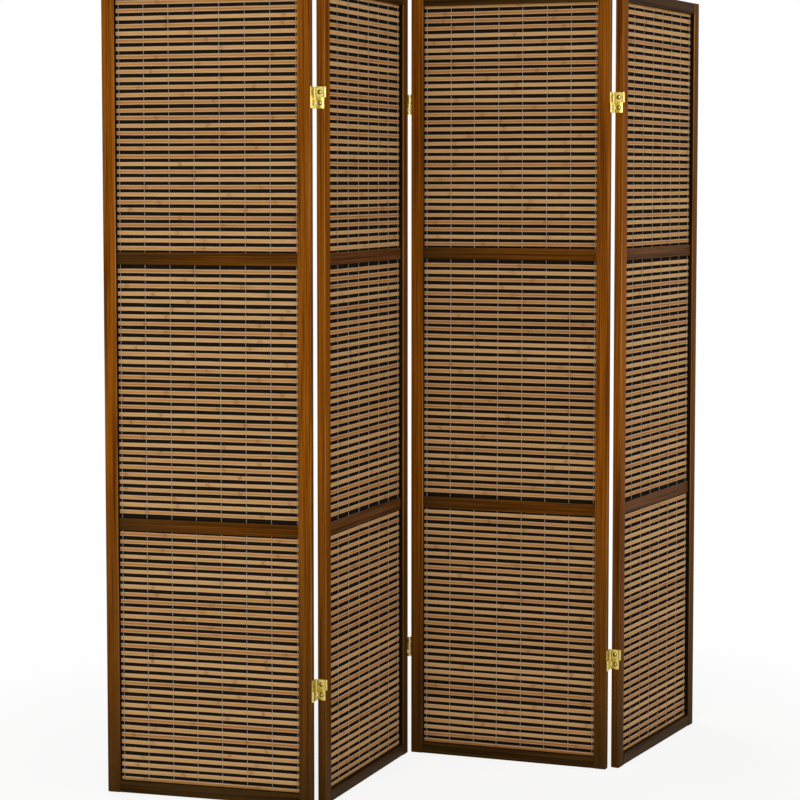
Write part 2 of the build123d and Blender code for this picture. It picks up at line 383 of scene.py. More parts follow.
def split_bamboo(name, settings):
    """Bamboo split into flat strips and scraped. Its fibres run along each strip, the top and
    bottom edges of each strip are paler and greyer, a painted highlight, and the knots where leaves grew
    are mottled and raised."""
    material, tree = new_material(name)
    tone, along, across, knot = (
        node(tree, "Attribute", attribute_name=key).outputs["Fac"]
        for key in ("tone", "along", "across", "knot")
    )
    place = node(tree, "CombineXYZ", {"X": along, "Y": across, "Z": tone})
    fibres = strip_noise(tree, place, 55 * MM, 0.6 * MM, 90, 4, 0.65)
    patches = strip_noise(tree, place, 120 * MM, 7.5 * MM, 70, 2)
    flecks = strip_noise(tree, place, 2.2 * MM, 1.1 * MM, 50, 3)
    shade = node(tree, "Math", {0: patches, 1: 0.9, 2: tone}, operation="MULTIPLY_ADD")
    spread = node(tree, "MapRange", {"Value": shade, "From Min": 0.2, "From Max": 1.2})
    body = node(tree, "ValToRGB", {"Fac": spread}, stops=(
        (0.0, settings.ruddy), (0.35, settings.amber), (0.7, settings.straw), (1.0, settings.pale),
    ))
    fibre_marks = node(tree, "MapRange", {
        "Value": fibres, "From Min": 0.3, "From Max": 0.7, "To Min": 0.8, "To Max": 1.12,
    })
    fibred = node(tree, "Mix", {
        "Factor": 1.0, "A": body, "B": fibre_marks,
    }, data_type="RGBA", blend_type="MULTIPLY")
    # Painted highlight: the colour turns paler and greyer towards the strip's top and bottom edges.
    off_middle = node(tree, "Math", {0: across}, operation="ABSOLUTE")
    edge = node(tree, "MapRange", {
        "Value": off_middle, "From Min": 0.3, "From Max": 0.75, "To Max": 0.85,
    })
    edge_highlighted = node(tree, "Mix", {"Factor": edge, "A": fibred, "B": (*settings.cut, 1)}, data_type="RGBA")
    flecked = node(tree, "MapRange", {"Value": flecks, "From Min": 0.45, "From Max": 0.6})
    marked = node(tree, "Math", {0: knot, 1: flecked}, operation="MULTIPLY")
    knotted = node(tree, "Mix", {"Factor": marked, "A": edge_highlighted, "B": (*settings.knot, 1)}, data_type="RGBA")
    bump = node(tree, "Bump", {"Height": fibres, "Strength": 0.35, "Distance": 0.12 * MM})
    shader = node(tree, "BsdfPrincipled", {
        "Base Color": knotted, "Roughness": 0.5, "Normal": bump, "IOR": 1.1,
    })
    node(tree, "OutputMaterial", {"Surface": shader})
    return material


def twisted_cotton(name, colour):
    """Grey cotton yarn of two twisted plies. The twist shows as soft bands 0.75 mm apart."""
    material, tree = new_material(name)
    places = node(tree, "TexCoord").outputs["Object"]
    bands = node(tree, "TexWave", {
        "Vector": places, "Scale": WAVE_LENGTH / (0.75 * MM), "Distortion": 2.0,
    }, wave_type="BANDS", bands_direction="Z").outputs["Fac"]
    worn = grain_noise(tree, places, 8 * MM, 30 * MM, "Z", 2)
    mixed = node(tree, "Mix", {"Factor": 0.5, "A": bands, "B": worn})
    dull = shaded(colour, 0.62, 0.62, 0.62)
    base = node(tree, "ValToRGB", {"Fac": mixed}, stops=((0.25, dull), (0.7, colour)))
    bump = node(tree, "Bump", {"Height": bands, "Strength": 0.5, "Distance": 0.1 * MM})
    shader = node(tree, "BsdfPrincipled", {
        "Base Color": base, "Roughness": 0.85, "Sheen Weight": 0.25, "Sheen Roughness": 0.5,
        "Normal": bump,
    })
    node(tree, "OutputMaterial", {"Surface": shader})
    return material


def black_cloth(name, colour):
    """Plain-woven black polyester, tight over the frame. Warp and weft show as a faint
    grid, drawn 1.1 mm apart so that it can be seen."""
    material, tree = new_material(name)
    places = node(tree, "TexCoord").outputs["Object"]
    warp, weft = (
        node(tree, "TexWave", {
            "Vector": places, "Scale": WAVE_LENGTH / (1.1 * MM), "Distortion": 0.4, "Detail": 1.0,
        }, wave_type="BANDS", bands_direction=direction).outputs["Fac"]
        for direction in ("X", "Z")
    )
    weave = node(tree, "Math", {0: warp, 1: weft}, operation="MULTIPLY")
    dust = grain_noise(tree, places, 60 * MM, 90 * MM, "Z", 3)
    lit = shaded(colour, 2.6, 2.6, 2.6)
    mixed = node(tree, "Mix", {"Factor": 0.35, "A": weave, "B": dust})
    base = node(tree, "ValToRGB", {"Fac": mixed}, stops=((0.15, colour), (0.75, lit)))
    bump = node(tree, "Bump", {"Height": weave, "Strength": 0.5, "Distance": 0.2 * MM})
    shader = node(tree, "BsdfPrincipled", {
        "Base Color": base, "Roughness": 0.95, "IOR": 1.06, "Normal": bump,
    })
    node(tree, "OutputMaterial", {"Surface": shader})
    return material


def plated_brass(name, colour, screw_shadow):
    """Stamped steel with bright brass plate. Rolling and handling leave it slightly
    clouded, with short scratches up and down. A dark ring round each screw is a painted shadow."""
    material, tree = new_material(name)
    places = node(tree, "TexCoord").outputs["Object"]
    clouds = grain_noise(tree, places, 2.5 * MM, 3 * MM, "Z", 3)
    scratches = grain_noise(tree, places, 0.35 * MM, 9 * MM, "Z", 2)
    dull = shaded(colour, 0.78, 0.7, 0.55)
    plate = node(tree, "ValToRGB", {"Fac": clouds}, stops=((0.38, dull), (0.55, colour)))
    split = node(tree, "SeparateXYZ", {"Vector": places})
    # Heights are folded about three middles, which brings every screw to height zero.
    low, high = HINGE_HEIGHTS
    off = split.outputs["Z"]
    for middle in ((low + high) / 2, (high - low) / 2, (HALF_GAP + HALF_HEIGHT) / 2):
        less = node(tree, "Math", {0: off, 1: middle}, operation="SUBTRACT")
        off = node(tree, "Math", {0: less}, operation="ABSOLUTE")
    side = node(tree, "Math", {0: split.outputs["Y"], 1: THICK / 2}, operation="SUBTRACT")
    flat = node(tree, "CombineXYZ", {"X": side, "Y": off})
    away = node(tree, "VectorMath", {0: flat}, operation="LENGTH")
    # Painted shadow: a dark ring between the screw head and the rim of the access hole.
    ring = node(tree, "MapRange", {
        "Value": away, "From Min": SCREW_HEAD_RADIUS - 0.3 * MM, "From Max": SCREW_HEAD_RADIUS + 0.1 * MM,
    })
    outer = node(tree, "MapRange", {
        "Value": away, "From Min": ACCESS_RADIUS - 0.6 * MM, "From Max": ACCESS_RADIUS + 0.4 * MM,
        "To Min": 0.88, "To Max": 0.0,
    })
    screw_shadowed = node(tree, "Math", {0: ring, 1: outer}, operation="MULTIPLY")
    base = node(tree, "Mix", {"Factor": screw_shadowed, "A": plate, "B": (*screw_shadow, 1)}, data_type="RGBA")
    rough = node(tree, "MapRange", {
        "Value": scratches, "From Min": 0.3, "From Max": 0.7, "To Min": 0.2, "To Max": 0.38,
    })
    bump = node(tree, "Bump", {"Height": scratches, "Strength": 0.15, "Distance": 0.05 * MM})
    shader = node(tree, "BsdfPrincipled", {
        "Base Color": base, "Metallic": 1.0, "Roughness": rough, "Normal": bump,
    })
    node(tree, "OutputMaterial", {"Surface": shader})
    return material


def bare_beech(name, colour):
    """Bare beech dowel: pale, with short brown flecks along the grain."""
    material, tree = new_material(name)
    places = node(tree, "TexCoord").outputs["Object"]
    flecks = grain_noise(tree, places, 1 * MM, 6 * MM, "X", 3)
    brown = shaded(colour, 0.6, 0.48, 0.36)
    base = node(tree, "ValToRGB", {"Fac": flecks}, stops=((0.3, brown), (0.5, colour)))
    shader = node(tree, "BsdfPrincipled", {"Base Color": base, "Roughness": 0.7})
    node(tree, "OutputMaterial", {"Surface": shader})
    return material


# Timber

def stile_shell(inner_left, arris):
    """An upright with a rebate at its inner back corner, stopped short of both ends."""
    shell = Shell()
    corner = 3 if inner_left else 2
    low = (WIDTH - STILE, 0.0) if inner_left else (0.0, 0.0)
    high = (low[0] + STILE, THICK)
    full = bar_outline(low, high, arris)
    notched = bar_outline(low, high, arris, (corner, LIP, THICK - MAT_FRONT))
    stop = RAIL - LIP
    eased = 0.8 * MM
    shell.skin([
        ringed(full, "Z", 0.0, eased),
        ringed(full, "Z", eased),
        ringed(full, "Z", stop),
        ringed(notched, "Z", stop),
        ringed(notched, "Z", HEIGHT - stop),
        ringed(full, "Z", HEIGHT - stop),
        ringed(full, "Z", HEIGHT - eased),
        ringed(full, "Z", HEIGHT, eased),
    ])
    return shell


def rail_shell(top, arris):
    """A top or bottom rail with a rebate along its inner back corner."""
    shell = Shell()
    base = HEIGHT - RAIL if top else 0.0
    corner = 1 if top else 2
    outline = bar_outline((0.0, base), (THICK, base + RAIL), arris, (corner, THICK - MAT_FRONT, LIP))
    straight_bar(shell, outline, "X", STILE, WIDTH - STILE, SAWN_EDGE)
    return shell


def on_arris(face):
    """Whether a face of the frame is part of a rounded edge at its front or back."""
    across = max(abs(face.normal.x), abs(face.normal.z))
    return all(0.35 < slant < 0.94 for slant in (across, abs(face.normal.y)))


def faces_opening(face):
    """Whether a face of the frame looks inward, across the opening."""
    inward = {"X": face.center.x - WIDTH / 2, "Z": face.center.z - HEIGHT / 2}
    reach = {"X": WIDTH / 2 - STILE, "Z": HEIGHT / 2 - RAIL}
    for axis, flat in (("X", face.normal.x), ("Z", face.normal.z)):
        if abs(abs(inward[axis]) - reach[axis]) < 0.3 * MM and abs(flat) > 0.95:
            return True
    return False


def middle_rail_shell():
    shell = Shell()
    back = MAT_FRONT - THREAD_THICK
    for base in MID_RAIL_BASES:
        outline = bar_outline((back - MID_RAIL_THICK, base), (back, base + RAIL), SMALL_ARRIS)
        straight_bar(shell, outline, "X", STILE, WIDTH - STILE, SAWN_EDGE)
    return shell


def back_bead_shell():
    """Four beads round the rebate and two bars behind the middle rails."""
    shell = Shell()
    stop = RAIL - LIP
    for left in (STILE - LIP, WIDTH - STILE):
        outline = bar_outline((left, CLOTH_BACK), (left + LIP, THICK), SMALL_ARRIS)
        straight_bar(shell, outline, "Z", stop, HEIGHT - stop, SAWN_EDGE)
    joint = 0.2 * MM
    bases = [(stop, LIP), (HEIGHT - RAIL, LIP)] + [(base, RAIL) for base in MID_RAIL_BASES]
    for base, tall in bases:
        outline = bar_outline((CLOTH_BACK, base), (THICK, base + tall), SMALL_ARRIS)
        straight_bar(shell, outline, "X", STILE + joint, WIDTH - STILE - joint, SAWN_EDGE)
    return shell


# Mat

# A slat's section, crowned in front and flat behind, in shares of half its thickness and
# half its height
SLAT_SECTION = (
    (-1.0, 0.0), (-0.97, 0.55), (-0.8, 0.88), (-0.15, 1.0), (0.85, 0.93),
    (0.85, -0.93), (-0.15, -1.0), (-0.8, -0.88), (-0.97, -0.55),
)


def slat_stations(knots, length):
    """Distances along a slat, close together at its knots."""
    spans = 16
    places = {length * step / spans for step in range(spans + 1)}
    for knot in knots:
        for near in (-7, -3.5, -1.5, 0, 1.5, 3.5, 7):
            place = knot + near * MM
            if 0 < place < length:
                places.add(place)
    ordered = sorted(places)
    return [ordered[0]] + [b for a, b in zip(ordered, ordered[1:]) if b - a > 0.5 * MM]


def slats_shell(number, settings):
    """All the slats of one panel, each a little out of true, with its own knots."""
    shell = Shell()
    draw = random.Random(40 + number)
    knots_apart = 265 * MM
    margin = 0.6 * MM
    for row in range(SLAT_COUNT):
        tone = draw.random()
        start = draw.uniform(0, knots_apart)
        knots = [start + knots_apart * turn for turn in (-1, 0, 1, 2)]
        rise = draw.uniform(-1, 1) * settings.tilt
        bow = draw.uniform(-1, 1) * settings.bow
        offset = draw.uniform(-0.35, 0.35) * MM
        half = SLAT_HEIGHT / 2 * draw.uniform(0.93, 1.05)
        depth = MAT_FRONT + SLAT_THICK / 2 + draw.uniform(0.0, 0.1) * MM
        shift = draw.uniform(0, 50)
        level = FIRST_SLAT + SLAT_PITCH * row + offset
        for base in MID_RAIL_BASES:
            if base < level < base + RAIL:
                # A slat behind a middle rail is kept level and out of sight.
                level = min(max(level, base + half + margin), base + RAIL - half - margin)
                rise, bow = 0.0, 0.0
        rings, along, across, tones, marks = [], [], [], [], []
        for place in slat_stations(knots, MAT_WIDTH):
            share = place / MAT_WIDTH
            near = min(abs(place - knot) for knot in knots)
            swell = math.exp(-((near / (2.2 * MM)) ** 2))
            mark = math.exp(-((near / (5 * MM)) ** 2))
            middle = level + rise * (share - 0.5) + bow * math.sin(math.pi * share)
            middle += 0.12 * MM * math.sin(shift + place * 60)
            ring = []
            for depth_share, height_share in SLAT_SECTION:
                thick = SLAT_THICK / 2 * (1 + 0.12 * swell if depth_share > 0 else 1)
                tall = half * (1 + 0.05 * swell)
                ring.append((MAT_LEFT + place, depth + depth_share * thick, middle + height_share * tall))
                along.append(place + shift)
                across.append(height_share)
                tones.append(tone)
                marks.append(mark)
            rings.append(ring)
        shell.skin(rings, along=along, across=across, tone=tones, knot=marks)
    return shell


def threads_shell(number, settings):
    """Pairs of yarns that pass before and behind each slat and cross in each gap."""
    shell = Shell()
    draw = random.Random(80 + number)
    radius = settings.yarn / 2
    middle_depth = MAT_FRONT + SLAT_THICK / 2
    first = (WIDTH - THREAD_SPACING * (THREAD_COUNT - 1)) / 2
    flat = SLAT_HEIGHT / 2 - 0.3 * MM
    gap = SLAT_PITCH - 2 * flat
    reach = SLAT_THICK / 2 + radius * 0.8
    for thread in range(THREAD_COUNT):
        centre = first + THREAD_SPACING * thread
        drift = draw.uniform(-1.2, 1.2) * MM
        phase = draw.uniform(0, 6)
        for side in (1, -1):
            path = []
            for row in range(SLAT_COUNT):
                middle = FIRST_SLAT + SLAT_PITCH * row
                sway = centre + drift * math.sin(phase + middle * 1.7)
                front = side * (1 if row % 2 else -1)
                path.append((sway, middle_depth + front * reach, middle - flat))
                path.append((sway, middle_depth + front * reach, middle + flat))
                if row == SLAT_COUNT - 1:
                    continue
                for turn in (0.3, 0.5, 0.7):
                    angle = math.pi * turn
                    path.append((
                        sway + side * radius * math.sin(angle),
                        middle_depth + front * reach * math.cos(angle) * 0.6,
                        middle + flat + gap * turn,
                    ))
            rings = []
            for across, depth, height in path:
                rings.append([
                    (across + radius * a, depth + radius * b, height)
                    for a, b in ((1, 0), (0, 1), (-1, 0), (0, -1))
                ])
            shell.skin(rings)
    return shell


# Backing cloth

def cloth_shell(number):
    """The cloth behind the mat: flat under the beads and bars, slack by a hair between them."""
    shell = Shell()
    draw = random.Random(120 + number)
    height = HEIGHT - 2 * (RAIL - LIP + MAT_CLEARANCE)
    low = (HEIGHT - height) / 2
    deepest = 1.6 * MM
    edges = [RAIL] + [edge for base in MID_RAIL_BASES for edge in (base, base + RAIL)] + [HEIGHT - RAIL]
    bays = list(zip(edges[::2], edges[1::2]))
    phases = [draw.uniform(0, 6) for _ in range(3)]
    columns, rows = 26, 96
    layers = []
    for depth in (CLOTH_FRONT + 0.05 * MM, CLOTH_FRONT + 0.4 * MM):
        layer = []
        for row in range(rows + 1):
            up = low + height * row / rows
            slack = 0.0
            for bottom, top in bays:
                if bottom < up < top:
                    slack = math.sin(math.pi * (up - bottom) / (top - bottom))
            line = []
            for column in range(columns + 1):
                along = MAT_LEFT + MAT_WIDTH * column / columns
                inner = (along - STILE) / (WIDTH - 2 * STILE)
                loose = slack * math.sin(math.pi * inner) if 0 < inner < 1 else 0.0
                wave = 0.5 + 0.3 * math.sin(phases[0] + 9 * along + 5 * up)
                wave += 0.2 * math.sin(phases[1] + 31 * along - 13 * up)
                line.append((along, depth + deepest * loose * wave, up))
            layer.append(line)
        layers.append(layer)
    count = (rows + 1) * (columns + 1)
    for layer in layers:
        for line in layer:
            shell.points.extend(line)

    def point(layer, row, column):
        return layer * count + row * (columns + 1) + column

    for row in range(rows):
        for column in range(columns):
            quad = [(row, column), (row, column + 1), (row + 1, column + 1), (row + 1, column)]
            shell.faces.append(tuple(point(0, *corner) for corner in quad))
            shell.faces.append(tuple(point(1, *corner) for corner in reversed(quad)))
    rim = [(0, column) for column in range(columns)] + [(row, columns) for row in range(rows)]
    rim += [(rows, column) for column in range(columns, 0, -1)] + [(row, 0) for row in range(rows, 0, -1)]
    for here, there in zip(rim, rim[1:] + rim[:1]):
        shell.faces.append((point(0, *there), point(0, *here), point(1, *here), point(1, *there)))
    return shell, (MAT_WIDTH, height)


# Hinges

def knuckle_middle(height, half, number):
    inner_end = HALF_GAP / 2 + number * (KNUCKLE + KNUCKLE_GAP)
    return height + half * (inner_end + KNUCKLE / 2)


def half_middle(height, half):
    return height + half * (HALF_GAP + HALF_HEIGHT) / 2


def add_knuckle(shell, across, depth, middle):
    """A rolled knuckle: a short tube with eased ends."""
    half = KNUCKLE / 2
    eased = 0.25 * MM
    turned(shell, (
        (BORE_RADIUS, -half), (BARREL_RADIUS - eased, -half), (BARREL_RADIUS, -half + eased),
        (BARREL_RADIUS, half - eased), (BARREL_RADIUS - eased, half), (BORE_RADIUS, half),
    ), (across, depth, middle), 32)


def leaf_shell(edge, outward, pivots):
    """The two leaves on one edge, with the end knuckles of their barrels."""
    shell = Shell()
    lap = 1 * MM
    pivot = edge + outward * GAP / 2
    face = edge + outward * PLATE
    for height in HINGE_HEIGHTS:
        add_box(
            shell,
            (edge, PLATE_INSET, height - HALF_HEIGHT),
            (face, THICK - PLATE_INSET, height + HALF_HEIGHT),
        )
        for half, depth in pivots:
            end = PLATE_INSET + lap if depth < 0 else THICK - PLATE_INSET - lap
            for number in (0, 2):
                middle = knuckle_middle(height, half, number)
                add_box(
                    shell,
                    (edge, depth, middle - KNUCKLE / 2),
                    (face, end, middle + KNUCKLE / 2),
                )
                add_knuckle(shell, pivot, depth, middle)
    return shell


def holed_plate(shell, across, low, high, hole, radius):
    """An upright plate across the gap, with a round hole and a rounded rim to it."""
    sides = 40
    outer, inner = [], []
    for step in range(sides):
        angle = 2 * math.pi * (step + 0.5) / sides
        way = (math.cos(angle), math.sin(angle))
        far = min(
            ((high[axis] if way[axis] > 0 else low[axis]) - hole[axis]) / way[axis] for axis in (0, 1)
        )
        outer.append((hole[0] + way[0] * far, hole[1] + way[1] * far))
        inner.append((hole[0] + way[0] * radius, hole[1] + way[1] * radius))
    eased = 0.15 * MM
    half = PLATE / 2

    def ring(points, place, grow):
        made = []
        for first, second in points:
            way = Vector((first - hole[0], second - hole[1]))
            way = way * (1 + grow / way.length)
            made.append((across + place, hole[0] + way.x, hole[1] + way.y))
        return made

    rings = [
        ring(inner, -half + eased, 0), ring(inner, -half, eased), ring(outer, -half, -eased),
        ring(outer, -half + eased, 0), ring(outer, half - eased, 0), ring(outer, half, -eased),
        ring(inner, half, eased), ring(inner, half - eased, 0),
    ]
    shell.skin(rings + [rings[0]], capped=False)


def link_shell(edge, outward, half):
    """The two links of one half, each between a front and a back barrel."""
    shell = Shell()
    lap = 1 * MM
    off_pin = BORE_RADIUS + 0.6 * MM
    tall = (HALF_HEIGHT - HALF_GAP) / 2
    pivot = edge + outward * GAP / 2
    for height in HINGE_HEIGHTS:
        middle = half_middle(height, half)
        holed_plate(
            shell, pivot,
            (PLATE_INSET, middle - tall), (THICK - PLATE_INSET, middle + tall),
            (THICK / 2, middle), ACCESS_RADIUS,
        )
        knuckle = knuckle_middle(height, half, 1)
        for depth, start, end in (
            (FRONT_PIVOT, FRONT_PIVOT + off_pin, PLATE_INSET + lap),
            (BACK_PIVOT, BACK_PIVOT - off_pin, THICK - PLATE_INSET - lap),
        ):
            add_box(
                shell,
                (pivot - PLATE / 2, start, knuckle - KNUCKLE / 2),
                (pivot + PLATE / 2, end, knuckle + KNUCKLE / 2),
            )
            add_knuckle(shell, pivot, depth, knuckle)
    return shell


def pin_shell(places):
    """Hinge pins with a domed head at the end away from the middle of the hinge."""
    shell = Shell()
    long = (HALF_HEIGHT - HALF_GAP) / 2
    axis = 0.02 * MM
    seat = long + 0.05 * MM
    profile = (
        (axis, -long), (PIN_RADIUS, -long), (PIN_RADIUS, seat), (1.9 * MM, seat),
        (1.7 * MM, long + 0.5 * MM), (1.0 * MM, long + 0.8 * MM), (axis, long + 0.9 * MM),
    )
    for across, half, depth in places:
        for height in HINGE_HEIGHTS:
            turned(
                shell,
                [(radius, half * rise) for radius, rise in profile],
                (across, depth, half_middle(height, half)),
                20,
            )
    return shell


def slotted_screw():
    """A countersunk screw whose slotted head is slightly domed, its face at zero and its
    point down."""
    axis = 0.01 * MM
    blank = Shell()
    turned(blank, (
        (axis, 0.35 * MM), (1.4 * MM, 0.28 * MM), (2.4 * MM, 0.08 * MM), (SCREW_HEAD_RADIUS, -0.12 * MM),
        (SCREW_RADIUS, -1.6 * MM), (SCREW_RADIUS, -12 * MM), (axis, -15 * MM),
    ), (0, 0, 0), 32)
    groove = Shell()
    add_box(groove, (-0.35 * MM, -4 * MM, -0.5 * MM), (0.35 * MM, 4 * MM, 1 * MM), eased=0.02 * MM)
    made = []
    for name, shell in (("screw_blank", blank), ("screw_groove", groove)):
        piece = bpy.data.objects.new(name, finished_mesh(name, shell, 35))
        bpy.context.scene.collection.objects.link(piece)
        made.append(piece)
    cut = made[0].modifiers.new("groove", "BOOLEAN")
    cut.operation = "DIFFERENCE"
    cut.object = made[1]
    cut.solver = "EXACT"
    bpy.context.view_layer.update()
    carved = made[0].evaluated_get(bpy.context.evaluated_depsgraph_get()).to_mesh()
    screw = Shell()
    screw.points = [point.co.copy() for point in carved.vertices]
    screw.faces = [tuple(face.vertices) for face in carved.polygons]
    for piece in made:
        bpy.data.objects.remove(piece)
    return screw


def screws_shell(edges, seed):
    """Screws in the leaves, their slots left at any angle."""
    shell = Shell()
    draw = random.Random(seed)
    screw = slotted_screw()
    for edge, outward in edges:
        for height in HINGE_HEIGHTS:
            for half in (UPPER, LOWER):
                place = Vector((edge + outward * PLATE, THICK / 2, half_middle(height, half)))
                turn = Matrix.Rotation(math.radians(90 * outward), 4, "Y")
                spin = Matrix.Rotation(draw.uniform(0, math.pi), 4, "Z")
                shell.add(screw, Matrix.Translation(place) @ turn @ spin)
    return shell


# Settings

def colour_setting(name, description, code):
    return bpy.props.FloatVectorProperty(
        name=name, description=description, default=linear(code), subtype="COLOR", size=3, min=0, max=1
    )


class TimberSettings(bpy.types.PropertyGroup):
    arris: bpy.props.FloatProperty(
        name="Arris", description="Radius of the frame's long edges", default=3 * MM, min=0.5 * MM,
        max=4 * MM, unit="LENGTH",
    )
    stile: colour_setting("Stile", "Stain on the stiles and beads", "#7A4207")
    # Painted shade: a darker copy of the stile stain for the right stiles of the second and fourth panels,
    # standing in for the shade on them.
    shaded: colour_setting(
        "Shaded stile", "Stain on the right stiles of the second and fourth panels", "#5C360B"
    )
    # Painted shade: near-black on the frame's faces that look across the opening, standing in for the
    # shadow in the recess.
    inner: colour_setting("Inner side", "Heavy stain on the sides of the opening", "#1C1208")
    # Painted highlight: a lighter copy of the stile stain for the stiles' rounded edges, standing in for
    # the light they catch.
    worn: colour_setting("Worn arris", "Thinner stain along the stiles' rounded edges", "#8E5C24")
    # Painted light and shade: the middle rails' stain comes in two copies, one for each pair of panels,
    # standing in for how the light falls on each pair.
    middle_rail: colour_setting(
        "Middle rail", "Stain on the middle rails of the first and third panels", "#5C3408"
    )
    red_rail: colour_setting(
        "Red rail", "Stain on the middle rails of the second and fourth panels", "#583618"
    )
    # Painted shade: a darker copy of the stile stain for the top and bottom rails, whose grain runs across
    # the light and catches less of it.
    edge_rail: colour_setting("Edge rail", "Stain on the top and bottom rails", "#3A260C")
    # Painted shade: the dark colour that the stiles, upright beads and first and third panels' middle rails
    # turn to at their ends, where less light falls.
    foot_shade: colour_setting("Foot", "Where the stain is heaviest, near the floor", "#2E230F")


class MatSettings(bpy.types.PropertyGroup):
    tilt: bpy.props.FloatProperty(
        name="Tilt", description="Most that a slat rises from end to end", default=1.0 * MM, unit="LENGTH"
    )
    bow: bpy.props.FloatProperty(
        name="Bow", description="Most that a slat bends", default=0.5 * MM, unit="LENGTH"
    )
    yarn: bpy.props.FloatProperty(
        name="Yarn", description="Thickness of one yarn", default=0.75 * MM, unit="LENGTH"
    )
    ruddy: colour_setting("Ruddy", "Darkest slats", "#9A6026")
    amber: colour_setting("Amber", "Warm slats", "#AA7029")
    straw: colour_setting("Straw", "Common slats", "#B68038")
    pale: colour_setting("Pale", "Palest slats", "#C49452")
    # Painted highlight: the paler, greyer colour that each slat turns to at its top and bottom edges.
    cut: colour_setting("Cut edge", "Greyer edges where the strips were split", "#BE9D80")
    knot: colour_setting("Knot", "Mottling at the knots", "#7A4A26")
    thread: colour_setting("Thread", "Warp yarn", "#A59C8E")
    cloth: colour_setting("Cloth", "Backing cloth", "#15110C")


class HingeSettings(bpy.types.PropertyGroup):
    brass: colour_setting("Brass", "Plated hinges, pins and screws", "#DCCA78")
    # Painted shadow: the dark ring round the screw heads, inside the links' access holes.
    screw_shadow: colour_setting("Dirt", "Dirt that gathers round the screw heads", "#271E12")
    beech: colour_setting("Beech", "Dowels inside the joints", "#C9A274")


class StageSettings(bpy.types.PropertyGroup):
    floor: colour_setting("Floor", "Floor under the screen", "#F2F1EF")
    key: bpy.props.FloatProperty(
        name="Key", description="Power of the large lamp at the front left", default=115.0,
        min=0, unit="POWER",
    )
    fill: bpy.props.FloatProperty(
        name="Fill", description="Power of the lamps at the front right and behind", default=68.0,
        min=0, unit="POWER",
    )
    sky: bpy.props.FloatProperty(
        name="Sky", description="Strength of the even light from all round", default=0.45, min=0, max=1
    )


GROUPS = (
    ("screen_timber", TimberSettings), ("screen_mat", MatSettings),
    ("screen_hinges", HingeSettings), ("screen_stage", StageSettings),
)


# Operators

class SCREEN_OT_timber(bpy.types.Operator):
    """Builds the stiles, rails, middle rails and back beads"""

    bl_idname = "screen.timber"
    bl_label = "Timber"

    def execute(self, context):
        settings = context.scene.screen_timber
        finishes = {}
        # Spans along each piece's axis over which the painted shade of the foot fades out.
        shade_from_floor = (0.0, 800 * MM)
        unfaded = (-200 * MM, 0.0)
        unfaded_rail = (-200 * MM, STILE)
        for name, axis, stain, shade_span in (
            ("stile", "Z", settings.stile, shade_from_floor),
            ("shaded_stile", "Z", settings.shaded, shade_from_floor),
            ("inner_side", "Z", settings.inner, unfaded),
            ("arris", "Z", settings.worn, shade_from_floor),
            ("middle_rail", "X", settings.middle_rail, (-60 * MM, 300 * MM)),
            ("red_rail", "X", settings.red_rail, unfaded_rail),
            ("edge_rail", "X", settings.edge_rail, unfaded_rail),
            ("bead", "X", settings.stile, unfaded_rail),
            ("upright_bead", "Z", settings.stile, shade_from_floor),
        ):
            full_name = f"walnut_stained_{name}"
            finishes[name] = stained_walnut(full_name, axis, stain, settings.foot_shade, *shade_span)
        for number in PANELS:
            prefix = f"panel_{number}"
            # The middle rails take the copy painted for the light on their pair of panels.
            middle = finishes["middle_rail" if number % 2 else "red_rail"]
            # The second and fourth panels' right stiles take the painted shade copy.
            right = finishes["stile" if number % 2 else "shaded_stile"]
            made = (
                ("left_stile", stile_shell(False, settings.arris), finishes["stile"]),
                ("right_stile", stile_shell(True, settings.arris), right),
                ("top_rail", rail_shell(True, settings.arris), finishes["edge_rail"]),
                ("bottom_rail", rail_shell(False, settings.arris), finishes["edge_rail"]),
                ("middle_rails", middle_rail_shell(), middle),
                ("back_beads", back_bead_shell(), finishes["bead"]),
            )
            for name, shell, material in made:
                node_name = f"{prefix}_{name}"
                piece = add_piece(f"{node_name}_timber", number, shell, material, [node_name])
                if name.endswith(("stile", "top_rail", "bottom_rail")):
                    piece.data.materials.append(finishes["inner_side"])
                    piece.data.materials.append(finishes["arris"])
                    for face in piece.data.polygons:
                        # The stiles' rounded edges take the painted highlight.
                        edge = 2 if on_arris(face) and "stile" in name else 0
                        # Faces across the opening take the painted shade.
                        face.material_index = 1 if faces_opening(face) else edge
                if name == "back_beads":
                    piece.data.materials.append(finishes["upright_bead"])
                    for face in piece.data.polygons:
                        upright = not STILE < face.center.x < WIDTH - STILE
                        face.material_index = 1 if upright else 0
        return {"FINISHED"}


class SCREEN_OT_mat(bpy.types.Operator):
    """Builds the bamboo slats, the yarn that ties them and the cloth behind"""

    bl_idname = "screen.mat"
    bl_label = "Bamboo mat"

    def execute(self, context):
        settings = context.scene.screen_mat
        bamboo = split_bamboo("split_bamboo_scraped", settings)
        cotton = twisted_cotton("cotton_yarn_twisted", settings.thread)
        woven = black_cloth("polyester_black_plain_weave", settings.cloth)
        for number in PANELS:
            prefix = f"panel_{number}"
            add_piece(
                f"{prefix}_bamboo", number, slats_shell(number, settings), bamboo,
                [f"{prefix}_bamboo_slats"], sharp=60,
            )
            add_piece(
                f"{prefix}_yarn", number, threads_shell(number, settings), cotton,
                [f"{prefix}_warp_threads"], sharp=100,
            )
            shell, flat = cloth_shell(number)
            cloth = add_piece(
                f"{prefix}_cloth", number, shell, woven,
                [f"{prefix}_backing_cloth"], sharp=60,
            )
        return {"FINISHED"}


